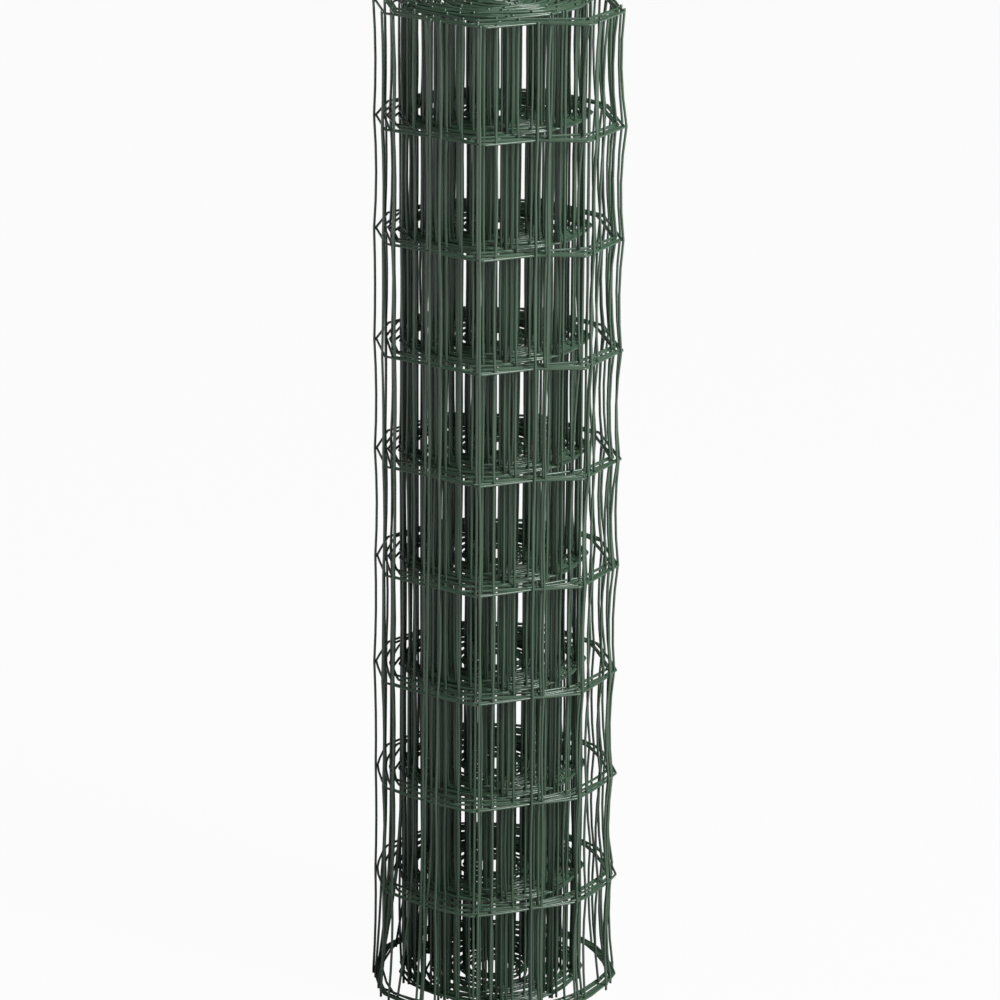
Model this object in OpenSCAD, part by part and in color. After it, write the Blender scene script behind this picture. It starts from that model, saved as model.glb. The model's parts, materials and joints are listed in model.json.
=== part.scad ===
// Roll of plastic-coated welded wire fencing, standing on its end.
// The tight inner turns are one turned solid round an open bore, and both its ends show the turns.
// The slack outer turns lie loose round it: each line wire is a flat spiral that runs straight from
// crimp to crimp, in to the inner roll, and the stays of the last turn are welded across them.

/* [Roll] */
// Diameter of the circle that the line wires of the last turn lie within
roll_d = 230; // [190:1:400]
// Outside diameter of the tight inner roll
inner_d = 164; // [110:1:170]
// Diameter of the open bore inside the first turn
bore_d = 30; // [16:1:60]

/* [Mesh] */
// Diameter of the wire with its coating
wire_d = 2.2; // [1.6:0.1:3]
// Number of line wires up the mesh
line_count = 10; // [3:1:18]
// Distance from one line wire to the next
line_pitch = 100; // [40:1:150]
// Distance from one stay to the next along a line wire
stay_pitch = 50; // [30:1:120]
// Length of stay that stands past the first and the last line wire
stay_end = 4; // [2:0.5:20]
// Depth to which a stay sinks into a line wire where they are welded
weld_sink = 0.5; // [0.3:0.1:0.7]

/* [Winding] */
// Number of slack outer turns
slack_turns = 6; // [2:1:6]
// Radial distance from one turn of the inner roll to the next, as its ends show it
turn_pitch = 5; // [4:0.1:8]
// Depth of the grooves between the turns on each end
turn_depth = 9; // [2:0.5:30]

/* [Hidden] */
$fn = 96;

// The loose end and then the crimps of a slack turn, clockwise: direction from the right in degrees,
// and radius as a share of the widest one
loose_end = [-275, 0.97];
crimps = [
    [-290, 0.965], [-331.5, 0.9], [-374, 1], [-409.5, 0.995], [-431, 0.85],
    [-458.5, 0.98], [-510, 0.98], [-540, 0.965], [-567, 0.975], [-606, 0.98]];
// The crimp that is dented inwards, where a stay lies
dent = 4;

// Height of the roll, which is the length of a stay
roll_h = (line_count - 1) * line_pitch + 2 * stay_end;
bore_r = bore_d / 2;
inner_r = inner_d / 2;
// Radius of a line wire's middle at its widest crimp, and at its inner end, well inside the inner roll
widest_r = roll_d / 2 - wire_d / 2;
end_r = inner_r - 2 * wire_d;
// Distance by which each slack turn lies nearer to the middle than the one round it
slack_pitch = (widest_r - end_r) / slack_turns;
// Distance from a line wire's middle to that of a stay welded on its outside
stay_off = wire_d - weld_sink;
// Room that a cutting shape takes past the face that it cuts
cut_past = 1;

// Middle line of a line wire in plan, from its loose end inwards
function polar(radius, angle) = radius * [cos(angle), sin(angle)];
function crimp(i) = crimps[i % len(crimps)];
function turn_of(i) = floor(i / len(crimps));
function crimp_radius(i) = widest_r * crimp(i)[1] - slack_pitch * (i + 1) / len(crimps);
function crimp_place(i) = polar(crimp_radius(i), crimp(i)[0] - 360 * turn_of(i));
crimp_count = slack_turns * len(crimps);
way = concat([polar(widest_r * loose_end[1], loose_end[0])],
    [for (i = [0 : crimp_count - 1]) crimp_place(i)]);
last = len(way) - 1;

// Outward direction of each straight side, and the step to the wire's edge at each crimp
function outward(i) = let(side = way[i + 1] - way[i]) [-side.y, side.x] / norm(side);
function joined(a, b) = (a + b) * 2 / ((a + b) * (a + b));
function to_edge(i) = wire_d / 2 * joined(outward(max(i - 1, 0)), outward(min(i, last - 1)));

// Length along the way to a crimp, and the side on which a length falls
function reach(i) = i == 0 ? 0 : reach(i - 1) + norm(way[i] - way[i - 1]);
function side_at(length, i = 0) = length < reach(i + 1) ? i : side_at(length, i + 1);
// Lengths along the last turn at which its stays lie, one of them in the dent
first_stay = reach(dent + 1) % stay_pitch;
stay_lengths = [for (length = [first_stay : stay_pitch : reach(len(crimps))]) length];

// Grooves in the lower end that leave the turns of the inner roll standing, each one wire wide
module turn_cuts() {
    gaps = max(1, round((inner_r - bore_r - wire_d) / turn_pitch));
    step = (inner_r - bore_r - wire_d) / gaps;
    for (i = [0 : gaps - 1])
        translate([bore_r + i * step + wire_d, -cut_past]) square([step - wire_d, turn_depth + cut_past]);
}

// The tight inner turns, from the bore out
module inner_roll() {
    rotate_extrude() difference() {
        translate([bore_r, 0]) square([inner_r - bore_r, roll_h]);
        turn_cuts();
        translate([0, roll_h]) mirror([0, 1]) turn_cuts();
    }
}

// One line wire of the slack turns, from its loose end in to the inner roll
module slack_line_wire() {
    outside = [for (i = [0 : last]) way[i] + to_edge(i)];
    inside = [for (i = [last : -1 : 0]) way[i] - to_edge(i)];
    translate([0, 0, -wire_d / 2]) linear_extrude(wire_d) polygon(concat(outside, inside));
}

// Stays of the last turn, welded on the outside of the line wires
module last_turn_stays() {
    for (length = stay_lengths) {
        i = side_at(length + 0.001);
        side = way[i + 1] - way[i];
        place = way[i] + side * (length - reach(i)) / norm(side) + outward(i) * stay_off;
        translate([place.x, place.y, 0]) cylinder(d = wire_d, h = roll_h);
    }
}

module wire_mesh_roll() {
    color([0.13, 0.25, 0.19]) union() {
        inner_roll();
        for (i = [0 : line_count - 1])
            translate([0, 0, stay_end + i * line_pitch]) slack_line_wire();
        last_turn_stays();
    }
}

wire_mesh_roll();
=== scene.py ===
# %% [markdown]
# A roll of wire fencing, standing on its end. The fencing is a welded mesh: long line wires run the
# length of the fence, and short upright stays are welded across them. The whole length is wound up,
# so each line wire becomes a flat spiral and each stay becomes an upright bar of a loose cage.
# The solid part that is loaded here gives the size and place of the roll. Its inner turns are one
# turned form, and only its outer turns are wires, so this script replaces it by all the wires of the
# mesh, laid along a winding of about the same size.

# %% Load the solid part and read its size
import bisect
import json
import math
import random

import bmesh
import bpy
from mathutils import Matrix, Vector, noise


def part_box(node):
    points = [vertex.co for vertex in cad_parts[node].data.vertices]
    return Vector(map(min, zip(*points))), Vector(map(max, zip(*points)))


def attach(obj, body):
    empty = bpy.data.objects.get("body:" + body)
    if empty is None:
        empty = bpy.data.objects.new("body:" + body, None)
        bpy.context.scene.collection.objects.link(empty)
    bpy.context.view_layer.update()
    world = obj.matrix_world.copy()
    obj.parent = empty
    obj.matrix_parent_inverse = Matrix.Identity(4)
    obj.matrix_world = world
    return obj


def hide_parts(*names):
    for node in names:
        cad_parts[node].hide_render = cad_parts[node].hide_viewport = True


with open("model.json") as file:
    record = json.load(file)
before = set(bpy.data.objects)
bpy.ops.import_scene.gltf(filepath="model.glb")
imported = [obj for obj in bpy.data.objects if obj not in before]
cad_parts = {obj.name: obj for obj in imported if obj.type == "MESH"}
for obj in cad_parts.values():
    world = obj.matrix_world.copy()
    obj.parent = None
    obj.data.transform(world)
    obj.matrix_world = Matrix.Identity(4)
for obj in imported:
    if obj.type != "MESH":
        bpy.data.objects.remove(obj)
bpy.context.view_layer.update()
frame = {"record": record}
random.seed(7)

MM = 0.001
ROLL_NODE = "wire_mesh_roll"
roll_low, roll_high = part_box(ROLL_NODE)
roll_height = roll_high.z - roll_low.z
bore_radius = frame["record"]["mounts"][0]["dims"]["r_mm"] * MM
print(f"roll {roll_height / MM:.0f} mm high, bore {2 * bore_radius / MM:.0f} mm across")

# %% [markdown]
# The mesh has ten line wires, 100 mm apart, and a stay every 50 mm. A stay stands a little past the
# first and the last line wire. Wire and coating together are a little over two millimetres thick.

# %% Sizes of the mesh
WIRE_RADIUS = 1.1 * MM
LINE_COUNT = 10
MIDDLE_LINE = LINE_COUNT // 2
STAY_END = 4 * MM
STAY_PITCH = 50 * MM
line_pitch = (roll_height - 2 * STAY_END) / (LINE_COUNT - 1)
line_heights = [roll_high.z - STAY_END - i * line_pitch for i in range(LINE_COUNT)]
print("line wires at", [round(z / MM) for z in line_heights], "mm")

# %% [markdown]
# Seen from above, the last turns aren't round. A crimp between the stays opens into a corner, and the
# wire runs straight from one corner to the next. Each row below is one corner: its direction in degrees
# from the right, its distance from the middle in millimetres, and how much nearer it lies one turn
# further in. The first three numbers hold at the top line wire, and the other three at the bottom one,
# where the slack turns lie closer together on the left. The third corner is a dent with a stay in it.

# %% Corners of the last turn
CORNERS = [
    (-23, 113, 2.0, -5, 107, 1.8),
    (-53, 124, 4.4, -46, 103, 3.6),
    (-71, 97, 2.2, -71, 97, 2.2),
    (-96, 112, 5.2, -101.5, 112, 5.2),
    (-150, 112, 5.6, -150, 112, 1.4),
    (-180, 107, 5.2, -180, 106, 1.3),
    (-208, 109, 5.6, -206, 109, 1.4),
    (-246, 111, 5.2, -246, 112, 4.8),
    (-290, 110, 5.2, -290, 110, 4.8),
    (-333, 102, 1.6, -330, 104, 1.6),
]
DENT_ANGLE = CORNERS[2][0]
print(f"{len(CORNERS)} corners, the dent at {DENT_ANGLE} degrees")

# %% [markdown]
# The winding has two parts: a band of slack outer turns that keep the corners, and a tight inner roll.
# The inner roll bends more evenly, its turns lie closest on its outside, and it sits a little to the
# left, while the bore stays in the middle. Turns are counted clockwise from the direction of the loose
# end, and the mesh is cut off a small part of a turn after it. Near the floor the slack turns flare out
# by a few millimetres.

# %% Turns of the two parts
LOOSE_END = math.radians(-275)
CUT_END = 0.032
BAND_TURNS = 5
FLARE = 3
FLARE_START = 0.85
CORE_TURNS = 29
CORE_BENDS = 8
CORE_RADIUS = 84.5 * MM
CORE_LEAN = 0.05
TIGHT_TURNS = 6
TIGHT_PITCH = 1.55 * MM
turn_count = BAND_TURNS + CORE_TURNS
print(f"{turn_count} turns, {BAND_TURNS} of them slack")

# %% [markdown]
# One list of bends tells the way of a line wire, from the loose end to the bore: how many turns it has
# made, and how far it is from the middle. Each bend is a little off its place, by seeded chance: mostly
# in the same way at every line wire, because the stays hold them together, and partly in its own.
# The pairs below are such strays, of the direction and of the distance in millimetres. The direction of
# a corner strays in degrees, and that of a bend of the inner roll in turns. The last turn keeps the
# directions of its corners. The distances of the slack turns under it stray more, and low down all of
# them stray less.

# %% How far the bends stray
BAND_STRAY = (4.5, 1.2)
BAND_OWN_STRAY = (1.2, 0.6)
CORE_STRAY = (0.025, 2.2)
CORE_OWN_STRAY = 0.5
UNDER_STRAY = 1.6
LOW_CALM = 0.8


def stray(sizes):
    """A direction and a distance by chance, each of its own usual size."""
    return [random.gauss(0, size) for size in sizes]


band_strays = [[stray(BAND_STRAY) for _ in CORNERS] for _ in range(BAND_TURNS)]
core_strays = [stray(CORE_STRAY) for _ in range(CORE_TURNS * CORE_BENDS + 1)]
print(len(CORNERS) * BAND_TURNS, "corners and", len(core_strays), "bends of the inner roll")

# %% [markdown]
# The bends of the band come from the corners, turn by turn, and those of the inner roll from an even
# spiral. Corners differ from the top to the bottom of the roll, so each line wire has its own list.


# %% The bends of each line wire
def smooth_step(low, high, x):
    """Goes smoothly from 0 at the low value to 1 at the high one."""
    t = min(max((x - low) / (high - low), 0), 1)
    return t * t * (3 - 2 * t)


def turns_to(angle):
    """Turns from the loose end, going clockwise, to a direction in degrees."""
    return ((LOOSE_END - math.radians(angle)) % math.tau) / math.tau


def core_radius(turn):
    """Distance from the middle of a turn of the inner roll, packed close for its first turns."""
    tight = min(turn, TIGHT_TURNS)
    loose_room = CORE_RADIUS - TIGHT_TURNS * TIGHT_PITCH - bore_radius
    loose_pitch = loose_room / (CORE_TURNS - TIGHT_TURNS)
    return CORE_RADIUS - tight * TIGHT_PITCH - (turn - tight) * loose_pitch


def line_bends(level):
    """Turns and distances from the middle of every bend of one line wire."""
    fall = level / (LINE_COUNT - 1)
    flare = smooth_step(FLARE_START, 1, fall)
    chance = random.Random(level)
    bends = []
    for turn in range(BAND_TURNS):
        for corner, (shared_angle, shared_radius) in zip(CORNERS, band_strays[turn]):
            angle, radius = [top + (low - top) * fall for top, low in zip(corner[:2], corner[3:5])]
            gap = corner[2] + (corner[5] - corner[2]) * flare
            own_angle, own_radius = [chance.gauss(0, size) for size in BAND_OWN_STRAY]
            if turn > 0:
                angle += shared_angle + own_angle
                shared_radius *= UNDER_STRAY
            radius += (shared_radius + own_radius) * (1 - LOW_CALM * flare) - gap * turn + FLARE * flare
            bends.append((turns_to(angle) + turn, radius * MM))
    for i, (shared_turn, shared_radius) in enumerate(core_strays):
        turn = i / CORE_BENDS
        lean = 1 - CORE_LEAN * math.cos(LOOSE_END - turn * math.tau)
        radius = core_radius(turn) * lean + (shared_radius + chance.gauss(0, CORE_OWN_STRAY)) * MM
        bends.append((BAND_TURNS + turn + shared_turn, radius))
    return sorted(bends)


all_bends = [line_bends(i) for i in range(LINE_COUNT)]
print(len(all_bends[0]), "bends in each line wire")

# %% [markdown]
# Between two bends the slack turns run straight on the upper line wires. On the lower ones they are
# partly rounded, as the inner roll is. The functions below give the place of any point of the mesh, and
# the way out of the roll there.

# %% The winding as seen from above
SOFTNESS = 0.6
SOFT_START = 0.4
BLEND_TURNS = 0.5
LOOK_AHEAD = 0.004


def winding(turn, level):
    """Place of a line wire, seen from above, at a number of turns from the loose end."""
    bends = all_bends[level]
    after = min(max(bisect.bisect(bends, (turn, 0)), 1), len(bends) - 1)
    (a, a_radius), (b, b_radius) = bends[after - 1], bends[after]
    span = (b - a) * math.tau
    along = (turn - a) * math.tau
    straight = math.sin(span) / (math.sin(span - along) / a_radius + math.sin(along) / b_radius)
    rounded = a_radius + (b_radius - a_radius) * along / span
    inner = smooth_step(BAND_TURNS - BLEND_TURNS, BAND_TURNS + BLEND_TURNS, turn)
    lower = smooth_step(SOFT_START, 1, level / (LINE_COUNT - 1))
    radius = straight + (rounded - straight) * SOFTNESS * max(inner, lower)
    angle = LOOSE_END - turn * math.tau
    return Vector((radius * math.cos(angle), radius * math.sin(angle)))


def outward(turn, level):
    """Direction that points out of the roll, square to the line wire."""
    run = winding(turn + LOOK_AHEAD, level) - winding(turn - LOOK_AHEAD, level)
    side = Vector((run.y, -run.x)).normalized()
    return side if side.dot(winding(turn, level)) > 0 else -side


print("last turn reaches", round(winding(turns_to(0), MIDDLE_LINE).length / MM), "mm to the right")

# %% [markdown]
# The roll wasn't wound quite even, so its turns don't all stand on the floor. The inner roll is raised
# by a few millimetres, and the slack turns by less. A smooth noise makes both uneven.

# %% How far a turn is raised
BAND_RISE = 0.8 * MM
CORE_RISE = 2.4 * MM
WAVE_ROUND = 0.8
WAVE_INWARD = 1.3


def rise(turn):
    """How much higher a part of a turn stands than the floor."""
    angle = turn * math.tau
    wave = noise.noise((WAVE_ROUND * math.cos(angle), WAVE_ROUND * math.sin(angle), WAVE_INWARD * turn))
    inner = smooth_step(BAND_TURNS - 2, BAND_TURNS + 1, turn)
    return (BAND_RISE + CORE_RISE * inner) * (1 + wave)


print(f"the mesh is raised {rise(turn_count) / MM:.1f} mm at the bore")

# %% [markdown]
# A stay stands at each 50 mm of the fence's length. One stay is known from the front: it sits in the
# dent of the outline. So the length is measured along the winding, and the row of stays is set by it.

# %% Turns at which the stays stand
STEPS_A_TURN = 120
lengths = [0.0]
for i in range(turn_count * STEPS_A_TURN):
    step = winding((i + 1) / STEPS_A_TURN, MIDDLE_LINE) - winding(i / STEPS_A_TURN, MIDDLE_LINE)
    lengths.append(lengths[-1] + step.length)
first_length = lengths[round(turns_to(DENT_ANGLE) * STEPS_A_TURN)] % STAY_PITCH

stay_turns = []
for i, length in enumerate(lengths):
    if length >= first_length + len(stay_turns) * STAY_PITCH:
        stay_turns.append(i / STEPS_A_TURN)
stay_turns = [turn for turn in stay_turns if turn > CUT_END]
print(f"{lengths[-1]:.1f} m of mesh, {len(stay_turns)} stays")

# %% [markdown]
# A wire could be a row of cylinders, but those would gape at every bend. A curve with a round section
# has mitred bends and is quick to lay along points. It becomes a mesh once its shape is final, with its
# ends closed. Eight sides are enough for so thin a wire.

# %% A helper that makes wires
RING_STEPS = 2
MERGE_GAP = 0.01 * MM


def make_wires(name, paths):
    """One mesh of round wires, each along its own list of points."""
    curve = bpy.data.curves.new(name, "CURVE")
    curve.dimensions = "3D"
    curve.bevel_depth = WIRE_RADIUS
    curve.bevel_resolution = RING_STEPS
    curve.use_fill_caps = True
    for points in paths:
        spline = curve.splines.new("POLY")
        spline.points.add(len(points) - 1)
        for spot, point in zip(spline.points, points):
            spot.co = (*point, 1)
    maker = bpy.data.objects.new(name + "_curve", curve)
    bpy.context.scene.collection.objects.link(maker)
    bpy.context.view_layer.update()
    mesh = bpy.data.meshes.new_from_object(maker.evaluated_get(bpy.context.evaluated_depsgraph_get()))
    bpy.data.objects.remove(maker)
    bpy.data.curves.remove(curve)
    shape = bmesh.new()
    shape.from_mesh(mesh)
    bmesh.ops.remove_doubles(shape, verts=shape.verts, dist=MERGE_GAP)
    bmesh.ops.recalc_face_normals(shape, faces=shape.faces)
    for face in shape.faces:
        face.smooth = len(face.verts) == 4
    open_edges = sum(1 for edge in shape.edges if not edge.is_manifold)
    shape.to_mesh(mesh)
    shape.free()
    mesh.name = name
    wires = bpy.data.objects.new(name, mesh)
    bpy.context.scene.collection.objects.link(wires)
    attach(wires, "root")
    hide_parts(ROLL_NODE)
    print(f"{name}: {len(paths)} wires, {len(mesh.polygons)} faces, {open_edges} open edges")
    return wires


# %% [markdown]
# Each line wire follows the winding from the loose end to the bore. It takes points at each bend,
# close to each bend on both sides, and along each side, so that the corners stay sharp. A point that
# would lie almost on the one before is left out, because the wire's skin would fold there.

# %% The ten line wires
SIDE_POINTS = (0, 0.03, 0.3, 0.7, 0.97)
POINT_GAP = 0.2 * MM

pieces = []
for i, height in enumerate(line_heights):
    marks = [CUT_END] + [turn for turn, _ in all_bends[i] if CUT_END < turn < turn_count] + [turn_count]
    turns = [a + (b - a) * share for a, b in zip(marks, marks[1:]) for share in SIDE_POINTS]
    path = []
    for turn in turns + [turn_count]:
        spot = winding(turn, i)
        point = Vector((spot.x, spot.y, height + rise(turn)))
        if not path or (point - path[-1]).length > POINT_GAP:
            path.append(point)
    pieces.append(make_wires(f"line_wire_{i + 1:02d}", [path]))

# %% [markdown]
# A stay crosses every line wire of its turn on the outside, where it is welded on. Between two line
# wires it bows a little, because the mesh was bent and squeezed when it was wound: at random in the
# whole roll, and inwards in the slack turns, most of all on the right. Copies of one stay would all be
# straight or all bow alike, so each stay is laid along its own points, and all of them make one mesh.

# %% The stays
WELD_SINK = 0.3 * MM
TOP_TIP = 1.5 * MM
STAY_BOW = 0.5 * MM
BAND_BOW = 1.0 * MM
RIGHT_BOW = 2.2 * MM
BOWS = ((0.25, 0.75), (0.5, 1.0), (0.75, 0.75))
stand_off = 2 * WIRE_RADIUS - WELD_SINK
outer_radius = roll_high.x
stay_paths = []
for turn in stay_turns:
    spots = []
    for i, height in enumerate(line_heights):
        spot = winding(turn, i) + outward(turn, i) * stand_off
        spots.append(Vector((spot.x, spot.y, height + rise(turn))))
    path = [spots[0] + Vector((0, 0, TOP_TIP))]
    for spot, below in zip(spots, spots[1:]):
        bow = Vector((random.gauss(0, STAY_BOW), random.gauss(0, STAY_BOW), 0))
        if turn < BAND_TURNS:
            inward = BAND_BOW + RIGHT_BOW * max(spot.x / outer_radius, 0)
            bow -= inward * Vector((spot.x, spot.y, 0)).normalized()
        path.append(spot)
        path += [spot.lerp(below, share) + bow * size for share, size in BOWS]
    path += [spots[-1], spots[-1] - Vector((0, 0, STAY_END))]
    stay_paths.append(path)
pieces.append(make_wires("stays", stay_paths))

# %% [markdown]
# A finish is a tree of shader nodes. The small class below lets sums and products of sockets be written
# as plain Python, and one method of it adds any other node. A socket is given by its name, with a low
# line for each space, or by a low line and its number where several sockets have the same name.


# %% A small wrapper for shader sockets
class Link:
    """A shader socket that can be used in sums and products."""

    def __init__(self, tree, socket):
        self.tree = tree
        self.socket = socket

    @classmethod
    def node(cls, tree, kind, settings=None, output=0, **inputs):
        """Adds a node: first its settings, then the values or links of its sockets."""
        node = tree.nodes.new(kind)
        for key, value in (settings or {}).items():
            setattr(node, key, value)
        for key, value in inputs.items():
            socket = node.inputs[int(key[1:]) if key[1:].isdigit() else key.replace("_", " ")]
            if isinstance(value, Link):
                tree.links.new(value.socket, socket)
            else:
                socket.default_value = value
        return cls(tree, node.outputs[output])

    def __add__(self, other):
        return Link.node(self.tree, "ShaderNodeMath", {"operation": "ADD"}, _0=self, _1=other)

    def __mul__(self, other):
        return Link.node(self.tree, "ShaderNodeMath", {"operation": "MULTIPLY"}, _0=self, _1=other)

    __radd__ = __add__
    __rmul__ = __mul__

    def feed(self, socket):
        """Links this socket to an input of a node that is already there."""
        self.tree.links.new(self.socket, socket)


print("shader sockets can be added and multiplied")

# %% [markdown]
# The coating is a dark green plastic with a soft gloss. A cloudy noise shifts its green a little, and a
# fine grain roughens its gloss. Both are patterns in space, so they need no picture and no unwrapping.

# %% The coated wire
DARK_GREEN = (0.036, 0.094, 0.050, 1)
PALE_GREEN = (0.076, 0.138, 0.087, 1)


def coated_wire():
    """Satin green plastic on every wire of the mesh."""
    material = bpy.data.materials.new("coated_wire")
    material.use_nodes = True
    tree = material.node_tree
    shader = tree.nodes["Principled BSDF"]
    place = Link.node(tree, "ShaderNodeTexCoord", output="Object")
    cloud = Link.node(tree, "ShaderNodeTexNoise", Vector=place, Scale=9.0, Detail=3.0)
    grain = Link.node(tree, "ShaderNodeTexNoise", Vector=place, Scale=420.0, Detail=2.0)
    green = Link.node(
        tree, "ShaderNodeMix", {"data_type": "RGBA"}, output=2, _0=cloud, _6=DARK_GREEN, _7=PALE_GREEN)
    green.feed(shader.inputs["Base Color"])
    gloss = 0.3 + 0.14 * cloud + 0.08 * grain
    gloss.feed(shader.inputs["Roughness"])
    bump = Link.node(tree, "ShaderNodeBump", Strength=0.15, Distance=0.0004, Height=grain)
    bump.feed(shader.inputs["Normal"])
    shader.inputs["Specular IOR Level"].default_value = 0.7
    shader.inputs["Coat Weight"].default_value = 0.6
    shader.inputs["Coat Roughness"].default_value = 0.3
    return material


coat = coated_wire()
for piece in pieces:
    piece.data.materials.clear()
    piece.data.materials.append(coat)
print("finish", coat.name, "on", len(pieces), "pieces")

# %% [markdown]
# The stage is a pale floor that runs on to the far edge of the picture. It shows white to the camera
# and still takes the roll's soft shadow. In the gloss of the wires it shows whiter the further off it
# lies from the middle of the roll. This ramp is a painted shade that stands in for the roll's shade on
# the near floor, so the upper stays, which mirror the far floor, have more painted sheen than the lower
# ones.

# %% Floor
FLOOR_SIZE = 40
FLOOR_GREY = (0.6, 0.6, 0.6, 1)
WHITE = (1, 1, 1, 1)
SEEN_WHITE = 0.96
MIRROR_START = 0.3
MIRROR_FULL = 2.6

bpy.ops.mesh.primitive_plane_add(size=FLOOR_SIZE, location=(0, 0, roll_low.z))
floor = bpy.context.object
floor.name = "floor"
floor_paint = bpy.data.materials.new("floor_paint")
floor_paint.use_nodes = True
tree = floor_paint.node_tree
shader = tree.nodes["Principled BSDF"]
shader.inputs["Base Color"].default_value = FLOOR_GREY
shader.inputs["Roughness"].default_value = 0.9
glow = Link.node(tree, "ShaderNodeEmission", Color=WHITE, Strength=1.0)
seen = Link.node(tree, "ShaderNodeLightPath", output="Is Camera Ray")
mirrored = Link.node(tree, "ShaderNodeLightPath", output="Is Glossy Ray")
place = Link.node(tree, "ShaderNodeTexCoord", output="Object")
distance = Link.node(tree, "ShaderNodeVectorMath", {"operation": "LENGTH"}, output="Value", _0=place)
# The ramp by distance is a painted shade: near the roll the floor mirrors less white in the gloss of
# the wires, as if the roll shaded it.
far = Link.node(tree, "ShaderNodeMapRange", Value=distance, From_Min=MIRROR_START, From_Max=MIRROR_FULL)
white_share = seen * SEEN_WHITE + mirrored * far
paint = Link(tree, shader.outputs["BSDF"])
mixed = Link.node(tree, "ShaderNodeMixShader", _0=white_share, _1=paint, _2=glow)
mixed.feed(tree.nodes["Material Output"].inputs["Surface"])
floor.data.materials.append(floor_paint)
print(f"floor {FLOOR_SIZE} m wide")

# %% [markdown]
# One soft lamp stands in front, above and to the right, and a weaker one hangs overhead. The world is
# white to the camera, and it adds only a little light of its own, so that the inside of the roll stays
# dark between the stays.

# %% World and lamps
DOME_LIGHT = 0.03
DOME_SHEEN = 0.05

world = bpy.data.worlds.new("studio")
world.use_nodes = True
bpy.context.scene.world = world
tree = world.node_tree
dome = tree.nodes["Background"]
dome.inputs["Color"].default_value = WHITE
seen = Link.node(tree, "ShaderNodeLightPath", output="Is Camera Ray")
mirrored = Link.node(tree, "ShaderNodeLightPath", output="Is Glossy Ray")
strength = seen * (1 - DOME_LIGHT) + mirrored * DOME_SHEEN + DOME_LIGHT
strength.feed(dome.inputs["Strength"])


def soft_lamp(name, place, aim, size, power):
    """A square lamp that points from its place to its aim."""
    lamp = bpy.data.lights.new(name, "AREA")
    lamp.size = size
    lamp.energy = power
    holder = bpy.data.objects.new(name, lamp)
    holder.location = place
    holder.rotation_euler = (Vector(aim) - Vector(place)).to_track_quat("-Z", "Y").to_euler()
    bpy.context.scene.collection.objects.link(holder)
    print(f"{name} of {power} W")


soft_lamp("right_lamp", place=(2.2, -1.4, 2.3), aim=(0, 0, 0.6), size=1.0, power=110)
soft_lamp("top_lamp", place=(0.2, -0.8, 2.6), aim=(0, 0, 0.5), size=1.0, power=6)

# %% [markdown]
# The camera stands about 3.6 m away and 1.66 m up, and looks down at the roll with a long lens. Its
# place was found from the ten rings, whose spacing is taken as 100 mm. It is rolled by a little over a
# third of a degree.

# %% Camera
LENS = 156.4
SENSOR = 36
CAMERA_SIDE = 2.2 * MM
CAMERA_BACK = 3648 * MM
CAMERA_HEIGHT = 1655 * MM + STAY_END
LOOK_DOWN = math.radians(18.24)
CAMERA_ROLL = math.radians(0.375)

camera_data = bpy.data.cameras.new("camera")
camera_data.sensor_width = SENSOR
camera_data.lens = LENS
camera = bpy.data.objects.new("camera", camera_data)
camera.location = (CAMERA_SIDE, -CAMERA_BACK, CAMERA_HEIGHT)
camera.rotation_mode = "ZYX"
camera.rotation_euler = (math.pi / 2 - LOOK_DOWN, 0, 0)
camera.rotation_euler.rotate_axis("Z", CAMERA_ROLL)
bpy.context.scene.collection.objects.link(camera)
bpy.context.scene.camera = camera
bpy.context.scene.view_settings.view_transform = "Standard"
print(f"camera with a {LENS} mm lens, {CAMERA_BACK:.2f} m in front of the roll")
